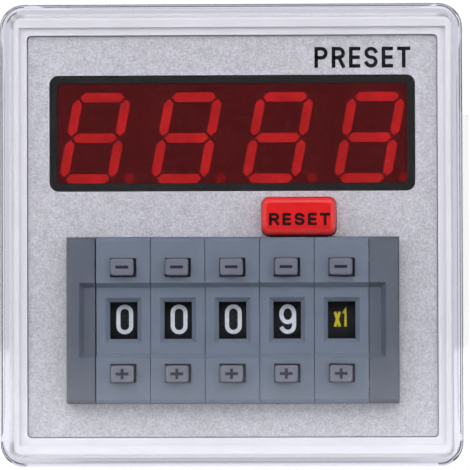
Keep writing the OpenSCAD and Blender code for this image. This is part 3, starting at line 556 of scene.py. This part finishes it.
# Figures that take less room along a label than the others, as a share of the full width
NARROW = {"1": 0, "E": 0.8}


def ribbon(points, closed, width):
    """Flat band along a line. The ends of an open line are square and reach half the width past it."""
    line = [Vector(point) for point in points]
    count = len(line)
    shape = bmesh.new()
    sides = []
    for i, point in enumerate(line):
        ways = []
        if closed or i > 0:
            ways.append((point - line[i - 1]).normalized())
        if closed or i < count - 1:
            ways.append((line[(i + 1) % count] - point).normalized())
        way = sum(ways, Vector((0, 0))).normalized()
        if len(ways) == 1:
            point = point + way * (width / 2 if i else -width / 2)
        across = Vector((-way.y, way.x)) * width / 2 / max(MITRE_LIMIT, way.dot(ways[0]))
        sides.append([shape.verts.new((point + across * side).to_3d()) for side in (1, -1)])
    for i in range(count if closed else count - 1):
        (left, right), (next_left, next_right) = sides[i], sides[(i + 1) % count]
        shape.faces.new((left, right, next_right, next_left))
    mesh = bpy.data.meshes.new("ribbon")
    shape.to_mesh(mesh)
    shape.free()
    return mesh


def figure_width(figure, half):
    """Width of a figure between the centre lines of its outer strokes."""
    return 2 * half[0] * NARROW.get(figure, 1)


def label_width(label, half, stroke):
    """Width of a row of figures between the centre lines of its first and last strokes."""
    widths = [figure_width(figure, half) for figure in label]
    return sum(widths) + LETTER_SPACE * stroke * (len(label) - 1)


def label_mesh(label, half, stroke, place, slices=0.0):
    """Raised bands of a row of figures, centred. Each band lies a little higher than the one before."""
    along = -label_width(label, half, stroke) / 2
    bands = []
    for figure in label:
        width = figure_width(figure, half)
        for points, closed in STROKES[figure](*half):
            band = ribbon([(x + along + width / 2, y) for x, y in points], closed, stroke)
            bands.append(raised(band, place, len(bands) * STROKE_LIFT, slices))
        along += width + LETTER_SPACE * stroke
    return joined(bands)


plate_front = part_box("face_plate")[0].y
title_x = TITLE_RIGHT - (label_width(TITLE_WORD, TITLE_HALF, TITLE_STROKE) + TITLE_STROKE) / 2
title = label_mesh(TITLE_WORD, TITLE_HALF, TITLE_STROKE, on_front(title_x, plate_front, TITLE_Z))
add_piece("title_word", title, "body", ink("plate_ink", srgb(12, 13, 20)))

reset_middle = (reset_low + reset_high) / 2
on_reset = on_front(reset_middle.x + LEGEND_SHIFT[0], reset_low.y, reset_middle.z + LEGEND_SHIFT[1])
legend = label_mesh(LEGEND_WORD, LEGEND_HALF, LEGEND_STROKE, on_reset)
add_piece("reset_legend", legend, "reset_button", ink("legend_ink", srgb(30, 3, 5)))

sign_ink = ink("sign_ink", srgb(34, 36, 46))
for n in UNITS:
    for name, sign in (("minus", "-"), ("plus", "+")):
        button = f"{name}_button_{n}"
        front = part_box(button)[0].y
        head = [v.co for v in frame["nodes"][button].data.vertices if v.co.y < front + HEAD_DEPTH]
        x, z = ((min(c[i] for c in head) + max(c[i] for c in head)) / 2 for i in (0, 2))
        mesh = label_mesh(sign, SIGN_HALF, SIGN_STROKE, on_front(x, front, z))
        add_piece(f"{name}_sign_{n}", mesh, button, sign_ink)

white_ink = ink("digit_ink", srgb(226, 232, 240))
yellow_ink = ink("factor_ink", srgb(206, 190, 40))
for n in UNITS:
    wheel = f"digit_wheel_{n}"
    low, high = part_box(wheel)
    radius = (high.z - low.z) / 2
    axis = Vector(next(j["pos_m"] for j in frame["joints"] if j["name"] == f"wheel_turn_{n}"))
    labels, half, stroke, shift, print_ink = (
        (DIGITS, DIGIT_HALF, DIGIT_STROKE, DIGIT_SHIFT, white_ink) if n in SHOWN_DIGITS
        else (FACTORS, FACTOR_HALF, FACTOR_STROKE, FACTOR_SHIFT, yellow_ink)
    )
    figures = []
    for index, label in enumerate(labels):
        turn = math.radians(WHEEL_STEP * (SHOWN_DIGITS.get(n, 0) - index)) + shift[1] / radius
        squeeze = min(1, LABEL_ROOM / (label_width(label, half, stroke) + stroke))
        place = on_wheel(axis + Vector((shift[0], 0, 0)), radius, turn, squeeze)
        figures.append(label_mesh(label, half, stroke, place, WHEEL_SLICE))
    add_piece(f"wheel_figures_{n}", joined(figures), wheel, print_ink)


# Stage, light and camera

def facing(place, target):
    """Rotation of a lamp or camera at a place that looks at a target."""
    return (Vector(target) - Vector(place)).to_track_quat("-Z", "Y")


def flat_stage(name, corners, material):
    """A flat sheet that belongs to the stage."""
    mesh = bpy.data.meshes.new(name)
    mesh.from_pydata(corners, [], [(0, 1, 2, 3)])
    mesh.materials.append(material)
    sheet = bpy.data.objects.new(name, mesh)
    bpy.context.scene.collection.objects.link(sheet)


def softbox(name, place, size, power):
    """A rectangular lamp that is aimed at the origin."""
    lamp = bpy.data.lights.new(name, "AREA")
    lamp.shape = "RECTANGLE"
    lamp.size, lamp.size_y = size
    lamp.energy = power
    box = bpy.data.objects.new(name, lamp)
    box.location = place
    box.rotation_euler = facing(place, (0, 0, 0)).to_euler()
    bpy.context.scene.collection.objects.link(box)


def floor_material(name):
    """Pale floor with a soft glow under the part and behind it, and none where the pane mirrors it."""
    shader = Shader(name, srgb(160, 160, 162), roughness=0.6, Emission_Strength=1.0)
    speckle = shader.noise(3 * MM)
    lit = shader.remap(shader.along("Y"), 0, 1, *FLOOR_GLOW)
    shader.set("Base Color", shader.vary(speckle, amount=0.01))
    shader.set("Emission Color", shader.mix(lit, (0, 0, 0, 1), (1, 1, 1, 1)))
    return shader.material


floor_z = cad_box[0][2]
corners = [(x * FLOOR_HALF, y * FLOOR_HALF, floor_z) for x, y in ((-1, -1), (1, -1), (1, 1), (-1, 1))]
flat_stage("floor", corners, floor_material("floor_paint"))

for name, (place, size, power) in LAMPS.items():
    softbox(name, place, size, power)

world = bpy.data.worlds.new("studio")
bpy.context.scene.world = world
world.use_nodes = True
nodes, links = world.node_tree.nodes, world.node_tree.links
direction = nodes.new("ShaderNodeTexCoord")
parts = nodes.new("ShaderNodeSeparateXYZ")
shade = nodes.new("ShaderNodeMapRange")
shade.interpolation_type = "SMOOTHSTEP"
shade.inputs["From Min"].default_value = WORLD_DARK_Y
shade.inputs["From Max"].default_value = WORLD_LIGHT_Y
shade.inputs["To Min"].default_value = WORLD_DARK
shade.inputs["To Max"].default_value = WORLD_LIGHT
links.new(direction.outputs["Generated"], parts.inputs[0])
links.new(parts.outputs["Y"], shade.inputs["Value"])
links.new(shade.outputs["Result"], nodes["Background"].inputs["Color"])

elevation = math.radians(CAMERA_ELEVATION)
azimuth = math.radians(CAMERA_AZIMUTH)
aim = Vector((
    (IMAGE_PIXELS / 2 - PLATE_CENTRE_PIXEL[0]) / PIXELS_PER_MM * MM,
    plate_front,
    (PLATE_CENTRE_PIXEL[1] - IMAGE_PIXELS / 2) / PIXELS_PER_MM * MM,
))
lens = bpy.data.cameras.new("camera")
lens.sensor_width = SENSOR_MM
lens.lens = PIXELS_PER_MM / MM * CAMERA_DISTANCE * SENSOR_MM / IMAGE_PIXELS
lens.clip_start, lens.clip_end = CAMERA_CLIP
camera = bpy.data.objects.new("camera", lens)
camera.location = aim + CAMERA_DISTANCE * Vector((
    math.cos(elevation) * math.sin(azimuth),
    -math.cos(elevation) * math.cos(azimuth),
    math.sin(elevation),
))
look = facing(camera.location, aim).to_matrix().to_4x4()
camera.rotation_euler = (look @ Matrix.Rotation(math.radians(CAMERA_ROLL), 4, "Z")).to_euler()
bpy.context.scene.collection.objects.link(camera)
bpy.context.scene.camera = camera
bpy.context.scene.view_settings.view_transform = "Standard"
